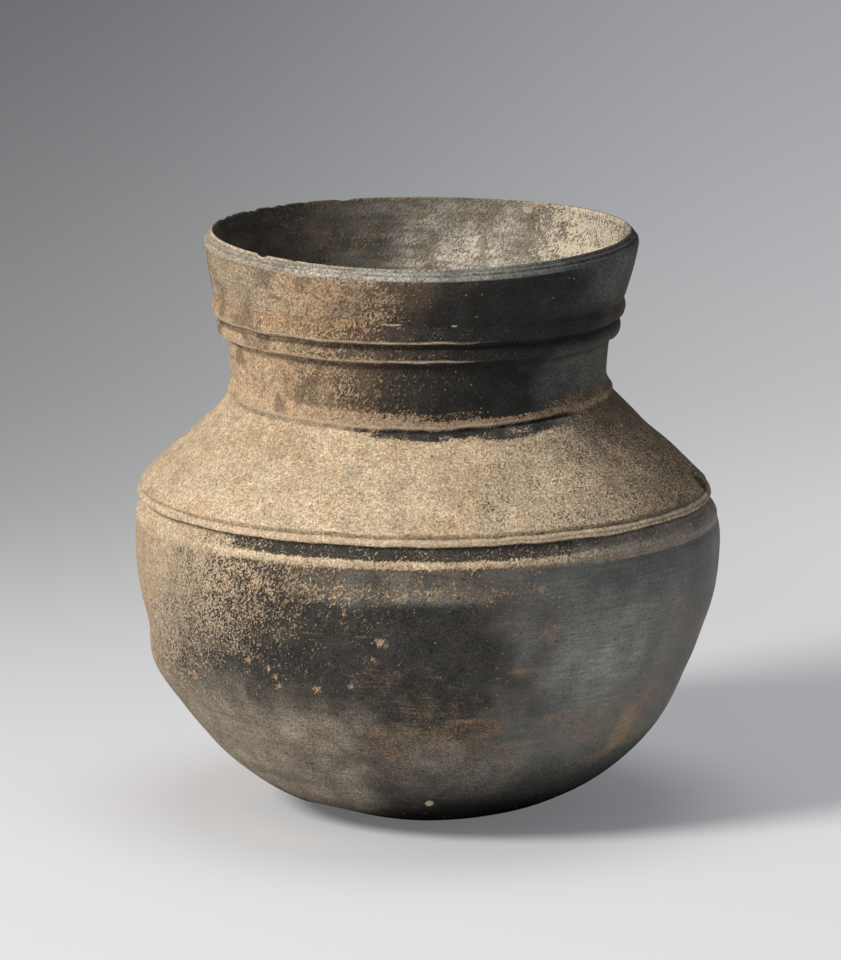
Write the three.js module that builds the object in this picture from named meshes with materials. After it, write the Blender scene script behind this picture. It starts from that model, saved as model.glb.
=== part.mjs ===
// A hand-built, long-necked jar of fired clay, modelled as the sections of clay that the potter joins.
// Millimetres, +Z up, origin at the centre of the flat foot. The side seen first faces -Y.
import * as THREE from "three";

// Steps round the jar
const segments = 48;

// Foot and bowl
const footRadius = 18;
const floorThickness = 7.5;
const bowlRadius = 91.8;
const bowlHeight = 86;
const bowlWall = 5.8;
const footRun = 49;
const footRise = 1.6;
const flankDrop = 39;
const padSeamHeight = 4.4;
const padScarfRise = 7.6;
const coilSeamDrop = 13;
const coilScarf = 4;

// The raised double band where the bowl turns into the shoulder
const bandRise = 7.2;
const bandInset = 0.8;
const bandHeight = 10.2;
const ridgeStand = 0.1;
const grooveDepth = 2.1;
const crestInset = 1;
const lineDepth = 0.9;
const bandSeatDepth = 3.4;
const turnInset = 0.9;

// Shoulder
const shoulderRise = 28.3;
const shoulderWall = 5.5;
const shoulderTopInset = 2;
const shoulderCrown = 0.25;
const shoulderHollow = 0.45;

// Neck
const waistRadius = 58.9;
const rootFlare = 1.4;
const rootLap = 0.1;
const rootLapHeight = 2;
const waistRise = 6.4;
const neckWall = 5;
const rootScarf = 3;
const lutingCoilWidth = 5;
const lutingCoilDepth = 1.4;

// The two cordons round the neck, which cover the joint between neck and mouth
const cordonRise = 18.3;
const cordonSeatFlare = 1.4;
const cordonSeatSlope = 2.2;
const lowerCordonHeight = 5.9;
const lowerCordonStand = 3.1;
const upperCordonHeight = 6.1;
const upperCordonStand = 3.8;
const cordonWaistStand = 1.2;

// Mouth and lip
const mouthFootStand = 1.7;
const mouthWallHeight = 16.2;
const mouthFlare = 3.6;
const mouthWall = 4.6;
const lipScarf = 2.4;
const lipStand = 0.15;
const lipHeight = 5;
const lipBevel = 2.6;
const lipGrooveDepth = 0.25;

// How the hand left it. Each lean is a shift towards +X, and each dip is deepest in front.
const footBlend = 14;
const bowlLean = 0.8;
const flankLean = -1.5;
const flankLeanHeight = 46;
const flankLeanReach = 20;
const shoulderLean = -0.9;
const neckLean = -1.1;
const neckLeanReach = 8;
const mouthLean = 0.9;
const rimDip = 3;
const rootDip = 1.9;
const rootDipReach = 14;
const rootTilt = 0.5;
const facetDepth = 1.1;
const facetHeight = 47;
const facetReach = 12;
const flankPressDepth = 0.7;
const flankPressHeight = 60;
const footLift = 1.3;
const footLiftHeight = 3;
const footLiftTurn = -0.75;
const footLiftReach = 0.8;
const wobble = 0.3;

// Heights of the sections, from the foot up
const coilSeamHeight = bowlHeight - coilSeamDrop;
const bandFootHeight = bowlHeight + bandRise;
const bandTopHeight = bandFootHeight + bandHeight;
const rootHeight = bandTopHeight + shoulderRise;
const lowerCordonFoot = rootHeight + cordonRise;
const upperCordonFoot = lowerCordonFoot + lowerCordonHeight;
const mouthFootHeight = upperCordonFoot + upperCordonHeight;
const lipSeamHeight = mouthFootHeight + mouthWallHeight;
const rimHeight = lipSeamHeight + lipHeight;

const point = (radius, height) => new THREE.Vector2(radius, height);

// Points along a smooth line through a few stations, with both ends kept exactly.
function through(stations, steps) {
  const points = new THREE.SplineCurve(stations).getPoints(steps);
  points[0].copy(stations[0]);
  points[steps].copy(stations[stations.length - 1]);
  return points;
}

// The parameter at which a rising curve reaches a height.
function parameterAt(curve, height) {
  let low = 0;
  let high = 1;
  while (high - low > 1e-9) {
    const middle = (low + high) / 2;
    if (curve.getPoint(middle).y < height) low = middle;
    else high = middle;
  }
  return low;
}

const pointOn = (curve, height) => curve.getPoint(parameterAt(curve, height));

// The stretch of a rising curve between two heights.
function stretch(curve, from, to, steps) {
  const start = parameterAt(curve, from);
  const end = parameterAt(curve, to);
  return Array.from({ length: steps + 1 }, (_, i) => curve.getPoint(start + ((end - start) * i) / steps));
}

// A smooth step from 0 to 1 as a value passes from one height to another.
const rise = (value, from, to) => THREE.MathUtils.smoothstep(value, from, to);

// A smooth hump of height 1 round a middle, which is 0 beyond its reach on each side.
const hump = (value, middle, reach) => 1 - rise(Math.abs(value - middle), 0, reach);

// Moves a point from the true turned form to where the hand left it. The foot stays flat.
function byHand(p) {
  const radius = Math.hypot(p.x, p.y);
  if (radius < 1e-6) return;
  const turn = Math.atan2(p.x, -p.y);
  const z = p.z;
  const clearOfFoot = rise(z, 0, footBlend);
  const front = (1 + Math.cos(turn)) / 2;
  const left = hump(turn, -Math.PI / 2, 0.9);
  const right = hump(turn, Math.PI / 2, 0.9);
  const facet = hump(z, facetHeight, facetReach) - 0.6 * hump(z, facetHeight + facetReach, facetReach);
  const out =
    facetDepth * left * facet -
    flankPressDepth * right * hump(z, flankPressHeight, facetReach) +
    wobble * clearOfFoot * (Math.sin(2 * turn + 1) + 0.6 * Math.sin(3 * turn + 2));
  const lean =
    bowlLean * clearOfFoot * (1 - rise(z, bowlHeight, bandTopHeight)) +
    flankLean * hump(z, flankLeanHeight, flankLeanReach) +
    shoulderLean * rise(z, bandFootHeight, bandTopHeight + neckLeanReach) +
    neckLean * rise(z, rootHeight - neckLeanReach, rootHeight + neckLeanReach) +
    mouthLean * rise(z, upperCordonFoot, lipSeamHeight);
  const lift =
    footLift * hump(turn, footLiftTurn, footLiftReach) * hump(z, footLiftHeight, footLiftHeight) -
    rootDip * front ** 8 * hump(z, rootHeight, rootDipReach) +
    rootTilt * Math.sin(turn) * hump(z, rootHeight, rootDipReach) -
    rimDip * front ** 3 * rise(z, mouthFootHeight, rimHeight);
  p.x += (p.x / radius) * out + lean;
  p.y += (p.y / radius) * out;
  p.z += lift;
}

// Turns a closed profile about the axis. Each square between two profile points is split the same way
// whichever section it belongs to, so two sections that share a seam meet on one surface.
function turned(profile) {
  const lathe = new THREE.LatheGeometry(profile, segments);
  const count = profile.length;
  const faces = [];
  for (let i = 0; i < segments; i++) {
    for (let j = 0; j < count - 1; j++) {
      const [here, next] = [profile[j], profile[j + 1]];
      const a = i * count + j;
      const b = a + count;
      const c = b + 1;
      const d = a + 1;
      const upwards = next.y > here.y || (next.y === here.y && next.x > here.x);
      if (here.x > 0) faces.push(...(upwards ? [a, b, d] : [a, b, c]));
      if (next.x > 0) faces.push(...(upwards ? [c, d, b] : [a, c, d]));
    }
  }
  lathe.setIndex(faces);
  lathe.deleteAttribute("normal");
  lathe.deleteAttribute("uv");
  lathe.rotateX(Math.PI / 2);
  const place = lathe.getAttribute("position");
  const p = new THREE.Vector3();
  for (let i = 0; i < place.count; i++) {
    p.fromBufferAttribute(place, i);
    byHand(p);
    place.setXYZ(i, p.x, p.y, p.z);
  }
  lathe.computeVertexNormals();
  return lathe;
}

// The bowl's two skins
const bowlOutside = new THREE.CubicBezierCurve(
  point(footRadius, 0),
  point(footRadius + footRun, footRise),
  point(bowlRadius, bowlHeight - flankDrop),
  point(bowlRadius, bowlHeight),
);
const insideRadius = bowlRadius - bowlWall;
const bowlInside = new THREE.CubicBezierCurve(
  point(0, floorThickness),
  point(footRadius + footRun, floorThickness),
  point(insideRadius, bowlHeight - flankDrop),
  point(insideRadius, bowlHeight),
);

// The turn from bowl to shoulder
const bandFootRadius = bowlRadius - bandInset;
const bandSeatRadius = bandFootRadius - bandSeatDepth;
const bandTopRadius = bandFootRadius - shoulderTopInset;
const bandAt = (radius, share) => point(radius, bandFootHeight + bandHeight * share);
const bandFoot = bandAt(bandFootRadius, 0);
const bandHeel = bandAt(bandSeatRadius, 0.12);
const bandBack = bandAt(bandSeatRadius, 0.45);
const bandShelf = bandAt(bandSeatRadius, 0.8);
const bandTop = bandAt(bandTopRadius, 1);

// The shoulder's slope
const rootRadius = waistRadius + rootFlare;
const shoulderTop = point(rootRadius, rootHeight);
const slope = bandTop.clone().sub(shoulderTop).normalize();
const inwards = point(slope.y, -slope.x);
const shoulderAt = (share, depth) => shoulderTop.clone().lerp(bandTop, share).addScaledVector(inwards, depth);
const shoulderFoot = shoulderAt(1, shoulderWall);
const turnInside = point(shoulderFoot.x - turnInset, shoulderFoot.y - 2 * turnInset);

// The neck's root, with the coil of clay smeared over the joint inside
const neckInsideRadius = waistRadius - neckWall;
const rootInside = point(neckInsideRadius + rootFlare, rootHeight - rootScarf);
const lutingTop = point(neckInsideRadius, rootInside.y + lutingCoilWidth);
const lutingFoot = rootInside.clone().addScaledVector(slope, lutingCoilWidth);
const intoTheHollow = rootInside.clone().sub(lutingTop.clone().lerp(lutingFoot, 0.5)).normalize();
const lutingBulge = rootInside.clone().addScaledVector(intoTheHollow, lutingCoilDepth);

// The seats of the cordons, which run past the joint between neck and mouth
const seatRadius = waistRadius + cordonSeatFlare;
const lowerSeat = point(seatRadius, lowerCordonFoot);
const upperSeat = point(seatRadius + cordonSeatSlope / 3, upperCordonFoot);
const mouthSeat = point(seatRadius + cordonSeatSlope, mouthFootHeight);
const cordonWaist = point(upperSeat.x + cordonWaistStand, upperCordonFoot);
const neckTopInside = point(upperSeat.x - neckWall, upperCordonFoot - cordonWaistStand);

// The mouth
const mouthFoot = point(mouthSeat.x + mouthFootStand, mouthFootHeight);
const mouthTop = point(mouthFoot.x + mouthFlare, lipSeamHeight);
const mouthTopInside = point(mouthTop.x - mouthWall, lipSeamHeight - lipScarf);
const mouthInside = mouthTopInside.clone().lerp(neckTopInside, 0.45);
const lipRadius = mouthTop.x + lipStand;
const lipAt = (inset, share) => point(lipRadius - inset, lipSeamHeight + lipHeight * share);

const basePad = [
  point(0, 0),
  ...stretch(bowlOutside, 0, padSeamHeight, 4),
  ...stretch(bowlInside, floorThickness, padSeamHeight + padScarfRise, 4).reverse(),
];

const lowerBody = [
  ...stretch(bowlOutside, padSeamHeight, coilSeamHeight, 10),
  ...stretch(bowlInside, padSeamHeight + padScarfRise, coilSeamHeight - coilScarf, 8).reverse(),
  pointOn(bowlOutside, padSeamHeight),
];

const upperBody = [
  ...stretch(bowlOutside, coilSeamHeight, bowlHeight, 3),
  point(bowlRadius - bandInset / 4, bowlHeight + bandRise / 2),
  bandFoot,
  bandHeel,
  bandBack,
  turnInside,
  ...stretch(bowlInside, coilSeamHeight - coilScarf, bowlHeight, 3).reverse(),
  pointOn(bowlOutside, coilSeamHeight),
];

// A low ridge, a hollow, a sharp-edged crest and a fine pressed line, from the foot up
const shoulderBand = [
  ...through(
    [
      bandFoot,
      bandAt(bandFootRadius + ridgeStand, 0.13),
      bandAt(bandFootRadius - grooveDepth / 3, 0.28),
      bandAt(bandFootRadius - grooveDepth, 0.45),
      bandAt(bandFootRadius - grooveDepth, 0.56),
    ],
    7,
  ),
  ...through(
    [
      bandAt(bandFootRadius - crestInset - 0.2, 0.64),
      bandAt(bandFootRadius - crestInset, 0.76),
      bandAt(bandTopRadius + 0.2, 0.88),
    ],
    3,
  ),
  bandAt(bandTopRadius - lineDepth / 2, 0.93),
  bandTop,
  bandShelf,
  bandBack,
  bandHeel,
  bandFoot,
];

const shoulder = [
  turnInside,
  bandBack,
  bandShelf,
  ...through(
    [
      bandTop,
      shoulderAt(0.7, -shoulderCrown),
      shoulderAt(0.4, shoulderHollow),
      shoulderAt(0.15, shoulderHollow),
      shoulderTop,
    ],
    6,
  ),
  rootInside,
  lutingFoot,
  shoulderFoot,
  turnInside,
];

const neckLutingCoil = [
  rootInside,
  ...through([lutingTop, lutingBulge, lutingFoot], 4),
  rootInside,
];

// The neck's foot laps over the shoulder
const neck = [
  rootInside,
  shoulderTop,
  ...through(
    [
      point(rootRadius + rootLap, rootHeight + rootLapHeight / 4),
      point(rootRadius + rootLap / 2, rootHeight + rootLapHeight),
      point(waistRadius + rootFlare / 4, rootHeight + 0.65 * waistRise),
      point(waistRadius, rootHeight + waistRise),
      point(waistRadius + cordonSeatFlare / 2, lowerCordonFoot - waistRise / 2),
      lowerSeat,
    ],
    9,
  ),
  upperSeat,
  ...through(
    [
      neckTopInside,
      point(neckInsideRadius, rootHeight + waistRise + lutingCoilWidth),
      lutingTop,
    ],
    4,
  ),
  rootInside,
];

const lowerCordonAt = (inset, share) =>
  point(lowerSeat.x + lowerCordonStand - inset, lowerCordonFoot + lowerCordonHeight * share);
const lowerCordon = [
  ...through(
    [
      lowerSeat,
      lowerCordonAt(0.35 * lowerCordonStand, 0.1),
      lowerCordonAt(0.12 * lowerCordonStand, 0.24),
      lowerCordonAt(0, 0.55),
      lowerCordonAt(lowerCordonStand / 6, 0.8),
      cordonWaist,
    ],
    7,
  ),
  upperSeat,
  lowerSeat,
];

const upperCordonAt = (inset, share) =>
  point(upperSeat.x + upperCordonStand - inset, upperCordonFoot + upperCordonHeight * share);
const upperCordon = [
  upperSeat,
  ...through(
    [
      cordonWaist,
      upperCordonAt(0.3 * upperCordonStand, 0.1),
      upperCordonAt(0.1 * upperCordonStand, 0.22),
      upperCordonAt(0, 0.54),
      upperCordonAt(upperCordonStand / 12, 0.8),
      mouthFoot,
    ],
    7,
  ),
  mouthSeat,
  upperSeat,
];

const mouth = [
  neckTopInside,
  upperSeat,
  mouthSeat,
  ...through(
    [
      mouthFoot,
      mouthFoot.clone().lerp(mouthTop, 0.14).add(point(mouthFootStand / 6, 0)),
      mouthFoot.clone().lerp(mouthTop, 0.6).add(point(mouthFootStand / 5, 0)),
      mouthTop,
    ],
    6,
  ),
  ...through([mouthTopInside, mouthInside, neckTopInside], 5),
];

const lip = [
  mouthTopInside,
  mouthTop,
  lipAt(0, 0.25),
  lipAt(0.1 * lipBevel, 0.5),
  lipAt(0.3 * lipBevel + lipGrooveDepth, 0.6),
  lipAt(0.5 * lipBevel, 0.76),
  lipAt(0.7 * lipBevel + lipGrooveDepth, 0.83),
  lipAt(lipBevel, 1),
  lipAt(1.35 * lipBevel, 0.92),
  lipAt(1.6 * lipBevel, 0.3),
  mouthTopInside,
];

const clay = (color, roughness) => new THREE.MeshStandardMaterial({ color, roughness, metalness: 0 });
const sections = {
  base_pad: [basePad, clay(0x2e2c29, 0.8)],
  lower_body: [lowerBody, clay(0x55503f, 0.75)],
  upper_body: [upperBody, clay(0x6b6455, 0.7)],
  shoulder_cordon: [shoulderBand, clay(0x9a8468, 0.85)],
  shoulder: [shoulder, clay(0xa58d6e, 0.9)],
  neck_luting_coil: [neckLutingCoil, clay(0x4a4540, 0.9)],
  neck_wall: [neck, clay(0x54483b, 0.85)],
  neck_cordon_lower: [lowerCordon, clay(0x8b765c, 0.85)],
  neck_cordon_upper: [upperCordon, clay(0x8b765c, 0.85)],
  mouth_wall: [mouth, clay(0x5d5145, 0.85)],
  lip: [lip, clay(0x8c8a80, 0.7)],
};

const jar = new THREE.Group();
jar.name = "long_necked_jar";
for (const [name, [profile, material]] of Object.entries(sections)) {
  const mesh = new THREE.Mesh(turned(profile), material);
  mesh.name = name;
  jar.add(mesh);
}

export default jar;
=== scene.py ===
import functools
import itertools
import math

import bpy
import numpy as np
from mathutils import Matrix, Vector


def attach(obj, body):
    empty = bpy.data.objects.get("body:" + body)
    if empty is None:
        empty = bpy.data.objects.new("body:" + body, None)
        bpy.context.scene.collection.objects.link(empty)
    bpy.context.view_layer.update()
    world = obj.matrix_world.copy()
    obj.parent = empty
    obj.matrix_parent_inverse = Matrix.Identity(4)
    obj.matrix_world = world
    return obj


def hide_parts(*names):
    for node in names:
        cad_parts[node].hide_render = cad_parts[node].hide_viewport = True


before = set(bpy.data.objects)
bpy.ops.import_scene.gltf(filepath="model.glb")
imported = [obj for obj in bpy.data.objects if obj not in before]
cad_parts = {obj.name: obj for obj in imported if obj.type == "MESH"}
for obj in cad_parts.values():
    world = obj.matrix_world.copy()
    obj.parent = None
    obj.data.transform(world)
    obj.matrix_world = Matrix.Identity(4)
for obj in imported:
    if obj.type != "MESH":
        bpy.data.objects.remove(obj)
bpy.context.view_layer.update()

MM = 0.001

# The same driving sizes as the clay model, in millimetres
FOOT_RADIUS, FLOOR_THICKNESS = 18.0, 7.5
BOWL_RADIUS, BOWL_HEIGHT, BOWL_WALL = 91.8, 86.0, 5.8
FOOT_RUN, FOOT_RISE, FLANK_DROP = 49.0, 1.6, 39.0
PAD_SEAM_HEIGHT, PAD_SCARF_RISE = 4.4, 7.6
COIL_SEAM_DROP, COIL_SCARF = 13.0, 4.0
BAND_RISE, BAND_INSET, BAND_HEIGHT = 7.2, 0.8, 10.2
RIDGE_STAND, GROOVE_DEPTH, CREST_INSET, LINE_DEPTH = 0.1, 2.1, 1.0, 0.9
BAND_SEAT_DEPTH, TURN_INSET = 3.4, 0.9
SHOULDER_RISE, SHOULDER_WALL, SHOULDER_TOP_INSET = 28.3, 5.5, 2.0
SHOULDER_CROWN, SHOULDER_HOLLOW = 0.25, 0.45
WAIST_RADIUS, ROOT_FLARE, ROOT_LAP, ROOT_LAP_HEIGHT, WAIST_RISE = 58.9, 1.4, 0.1, 2.0, 6.4
NECK_WALL, ROOT_SCARF, LUTING_COIL_WIDTH, LUTING_COIL_DEPTH = 5.0, 3.0, 5.0, 1.4
CORDON_RISE, CORDON_SEAT_FLARE, CORDON_SEAT_SLOPE, CORDON_WAIST_STAND = 18.3, 1.4, 2.2, 1.2
LOWER_CORDON_HEIGHT, LOWER_CORDON_STAND = 5.9, 3.1
UPPER_CORDON_HEIGHT, UPPER_CORDON_STAND = 6.1, 3.8
MOUTH_FOOT_STAND, MOUTH_WALL_HEIGHT, MOUTH_FLARE, MOUTH_WALL = 1.7, 16.2, 3.6, 4.6
LIP_SCARF, LIP_STAND, LIP_HEIGHT, LIP_BEVEL, LIP_GROOVE_DEPTH = 2.4, 0.15, 5.0, 2.6, 0.25

# How the hand left it, as in the clay model
FOOT_BLEND = 14.0
BOWL_LEAN, FLANK_LEAN, FLANK_LEAN_HEIGHT, FLANK_LEAN_REACH = 0.8, -1.5, 46.0, 20.0
SHOULDER_LEAN, NECK_LEAN, NECK_LEAN_REACH, MOUTH_LEAN = -0.9, -1.1, 8.0, 0.9
RIM_DIP, ROOT_DIP, ROOT_DIP_REACH, ROOT_TILT = 3.0, 1.9, 14.0, 0.5
FACET_DEPTH, FACET_HEIGHT, FACET_REACH = 1.1, 47.0, 12.0
FLANK_PRESS_DEPTH, FLANK_PRESS_HEIGHT = 0.7, 60.0
FOOT_LIFT, FOOT_LIFT_HEIGHT, FOOT_LIFT_TURN, FOOT_LIFT_REACH = 1.3, 3.0, -0.75, 0.8
WOBBLE = 0.3
SIDE_REACH = 0.9

# Heights above the table
COIL_SEAM = BOWL_HEIGHT - COIL_SEAM_DROP
BAND_FOOT = BOWL_HEIGHT + BAND_RISE
BAND_TOP = BAND_FOOT + BAND_HEIGHT
ROOT = BAND_TOP + SHOULDER_RISE
LOWER_CORDON_FOOT = ROOT + CORDON_RISE
UPPER_CORDON_FOOT = LOWER_CORDON_FOOT + LOWER_CORDON_HEIGHT
MOUTH_FOOT = UPPER_CORDON_FOOT + UPPER_CORDON_HEIGHT
LIP_SEAM = MOUTH_FOOT + MOUTH_WALL_HEIGHT
RIM = LIP_SEAM + LIP_HEIGHT

# Fineness of the meshes. The steps round the jar are closer together in front.
ROUND_STEPS = 640
FINENESS = 1.0
FRONT_BIAS = 0.3
HIDDEN_STEP = 4.0


# Shapes of lines and smooth steps
def point(radius, height):
    return np.array([radius, height], float)


def rise(value, low, high):
    t = np.clip((value - low) / (high - low), 0, 1)
    return t * t * (3 - 2 * t)


def fall(value, low, high):
    return 1 - rise(value, low, high)


def hump(value, middle, reach):
    return fall(np.abs(value - middle), 0, reach)


def between(value, low, high, soft):
    """1 between two values, falling smoothly to 0 over a soft margin outside them."""
    return rise(value, low - soft, low) * fall(value, high, high + soft)


def through(*stations, steps=40):
    """Points of the uniform Catmull-Rom line through the stations."""
    last = len(stations) - 1
    points = []
    for k in range(steps + 1):
        along = k / steps * last
        i = min(int(along), last - 1) if k < steps else last
        w = along - i
        before, here = stations[max(i - 1, 0)], stations[i]
        after, beyond = stations[min(i + 1, last)], stations[min(i + 2, last)]
        v0, v1 = (after - before) / 2, (beyond - here) / 2
        cubic = 2 * here - 2 * after + v0 + v1
        square = -3 * here + 3 * after - 2 * v0 - v1
        points.append(cubic * w ** 3 + square * w ** 2 + v0 * w + here)
    return [stations[0], *points[1:-1], stations[-1]]


def bezier(a, b, c, d):
    return lambda t: a * (1 - t) ** 3 + 3 * b * t * (1 - t) ** 2 + 3 * c * t * t * (1 - t) + d * t ** 3


def parameter_at(curve, height):
    low, high = 0.0, 1.0
    while high - low > 1e-9:
        middle = (low + high) / 2
        low, high = (middle, high) if curve(middle)[1] < height else (low, middle)
    return low


def stretch(curve, start, end, steps=80):
    a, b = parameter_at(curve, start), parameter_at(curve, end)
    return [curve(a + (b - a) * i / steps) for i in range(steps + 1)]


def resample(points, step):
    """Evenly spaced points along a line, with its two ends kept."""
    points = np.array(points)
    length = np.concatenate([[0], np.cumsum(np.hypot(*np.diff(points, axis=0).T))])
    count = max(1, int(round(length[-1] / step)))
    at = np.linspace(0, length[-1], count + 1)
    return np.column_stack([np.interp(at, length, points[:, 0]), np.interp(at, length, points[:, 1])])


# The bowl's two skins
inside_radius = BOWL_RADIUS - BOWL_WALL
bowl_outside = bezier(
    point(FOOT_RADIUS, 0),
    point(FOOT_RADIUS + FOOT_RUN, FOOT_RISE),
    point(BOWL_RADIUS, BOWL_HEIGHT - FLANK_DROP),
    point(BOWL_RADIUS, BOWL_HEIGHT),
)
bowl_inside = bezier(
    point(0, FLOOR_THICKNESS),
    point(FOOT_RADIUS + FOOT_RUN, FLOOR_THICKNESS),
    point(inside_radius, BOWL_HEIGHT - FLANK_DROP),
    point(inside_radius, BOWL_HEIGHT),
)

# The turn from bowl to shoulder
band_foot_radius = BOWL_RADIUS - BAND_INSET


def band_at(inset, share):
    return point(band_foot_radius - inset, BAND_FOOT + BAND_HEIGHT * share)


band_foot = band_at(0, 0)
band_heel = band_at(BAND_SEAT_DEPTH, 0.12)
band_back = band_at(BAND_SEAT_DEPTH, 0.45)
band_shelf = band_at(BAND_SEAT_DEPTH, 0.8)
band_top = band_at(SHOULDER_TOP_INSET, 1)

# The shoulder's slope
root_radius = WAIST_RADIUS + ROOT_FLARE
shoulder_top = point(root_radius, ROOT)
slope = (band_top - shoulder_top) / np.hypot(*(band_top - shoulder_top))
inwards = np.array([slope[1], -slope[0]])


def shoulder_at(share, depth):
    return shoulder_top + (band_top - shoulder_top) * share + inwards * depth


shoulder_foot = shoulder_at(1, SHOULDER_WALL)
turn_inside = shoulder_foot - point(TURN_INSET, 2 * TURN_INSET)

# The neck's root, the seats of the cordons and the mouth
neck_inside_radius = WAIST_RADIUS - NECK_WALL
root_inside = point(neck_inside_radius + ROOT_FLARE, ROOT - ROOT_SCARF)
luting_top = point(neck_inside_radius, root_inside[1] + LUTING_COIL_WIDTH)
luting_foot = root_inside + slope * LUTING_COIL_WIDTH
into_the_hollow = root_inside - (luting_top + luting_foot) / 2
luting_bulge = root_inside + into_the_hollow / np.hypot(*into_the_hollow) * LUTING_COIL_DEPTH
seat_radius = WAIST_RADIUS + CORDON_SEAT_FLARE
lower_seat = point(seat_radius, LOWER_CORDON_FOOT)
upper_seat = point(seat_radius + CORDON_SEAT_SLOPE / 3, UPPER_CORDON_FOOT)
mouth_seat = point(seat_radius + CORDON_SEAT_SLOPE, MOUTH_FOOT)
cordon_waist = point(upper_seat[0] + CORDON_WAIST_STAND, UPPER_CORDON_FOOT)
neck_top_inside = point(upper_seat[0] - NECK_WALL, UPPER_CORDON_FOOT - CORDON_WAIST_STAND)
mouth_foot = point(mouth_seat[0] + MOUTH_FOOT_STAND, MOUTH_FOOT)
mouth_top = point(mouth_foot[0] + MOUTH_FLARE, LIP_SEAM)
mouth_top_inside = point(mouth_top[0] - MOUTH_WALL, LIP_SEAM - LIP_SCARF)
lip_radius = mouth_top[0] + LIP_STAND


def bead(start, seat, stand, tall, places, end):
    """The line of a cordon. Its places lie inwards by shares of its stand, up by shares of its height."""
    return through(start, *(seat + point(stand * (1 - inset), tall * up) for inset, up in places), end)


def lip_at(inset, share, groove=0):
    return point(lip_radius - inset * LIP_BEVEL - groove, LIP_SEAM + LIP_HEIGHT * share)


# The lines of the skin that are more than a stretch of the bowl
turn_line = through(
    point(BOWL_RADIUS, BOWL_HEIGHT),
    point(BOWL_RADIUS - BAND_INSET / 4, BOWL_HEIGHT + BAND_RISE / 2),
    band_foot,
)
band_ridge = through(
    band_foot,
    band_at(-RIDGE_STAND, 0.13),
    band_at(GROOVE_DEPTH / 3, 0.28),
    band_at(GROOVE_DEPTH, 0.45),
    band_at(GROOVE_DEPTH, 0.56),
)
band_crest = through(
    band_at(CREST_INSET + 0.2, 0.64),
    band_at(CREST_INSET, 0.76),
    band_at(SHOULDER_TOP_INSET - 0.2, 0.88),
)
band_line = [*band_ridge, *band_crest, band_at(SHOULDER_TOP_INSET + LINE_DEPTH / 2, 0.93), band_top]
shoulder_line = through(
    band_top,
    shoulder_at(0.7, -SHOULDER_CROWN),
    shoulder_at(0.4, SHOULDER_HOLLOW),
    shoulder_at(0.15, SHOULDER_HOLLOW),
    shoulder_top,
    steps=200,
)
near_root = [place[1] > ROOT - 4 for place in shoulder_line].index(True)
neck_line = through(
    point(root_radius + ROOT_LAP, ROOT + ROOT_LAP_HEIGHT / 4),
    point(root_radius + ROOT_LAP / 2, ROOT + ROOT_LAP_HEIGHT),
    point(WAIST_RADIUS + ROOT_FLARE / 4, ROOT + 0.65 * WAIST_RISE),
    point(WAIST_RADIUS, ROOT + WAIST_RISE),
    point(WAIST_RADIUS + CORDON_SEAT_FLARE / 2, LOWER_CORDON_FOOT - WAIST_RISE / 2),
    lower_seat,
)
lower_bead = bead(
    lower_seat,
    lower_seat,
    LOWER_CORDON_STAND,
    LOWER_CORDON_HEIGHT,
    [(0.35, 0.1), (0.12, 0.24), (0, 0.55), (1 / 6, 0.8)],
    cordon_waist,
)
upper_bead = bead(
    cordon_waist,
    upper_seat,
    UPPER_CORDON_STAND,
    UPPER_CORDON_HEIGHT,
    [(0.3, 0.1), (0.1, 0.22), (0, 0.54), (1 / 12, 0.8)],
    mouth_foot,
)
mouth_line = through(
    mouth_foot,
    mouth_foot + (mouth_top - mouth_foot) * 0.14 + point(MOUTH_FOOT_STAND / 6, 0),
    mouth_foot + (mouth_top - mouth_foot) * 0.6 + point(MOUTH_FOOT_STAND / 5, 0),
    mouth_top,
)
lip_line = [
    mouth_top,
    lip_at(0, 0.25),
    lip_at(0.1, 0.5),
    lip_at(0.3, 0.6, LIP_GROOVE_DEPTH),
    lip_at(0.5, 0.76),
    lip_at(0.7, 0.83, LIP_GROOVE_DEPTH),
    lip_at(1, 1),
    lip_at(1.35, 0.92),
    lip_at(1.6, 0.3),
    mouth_top_inside,
]
mouth_middle_inside = mouth_top_inside + (neck_top_inside - mouth_top_inside) * 0.45
waist_inside = point(neck_inside_radius, ROOT + WAIST_RISE + LUTING_COIL_WIDTH)
coil_seam_inside = COIL_SEAM - COIL_SCARF
pad_seam_inside = PAD_SEAM_HEIGHT + PAD_SCARF_RISE

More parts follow.
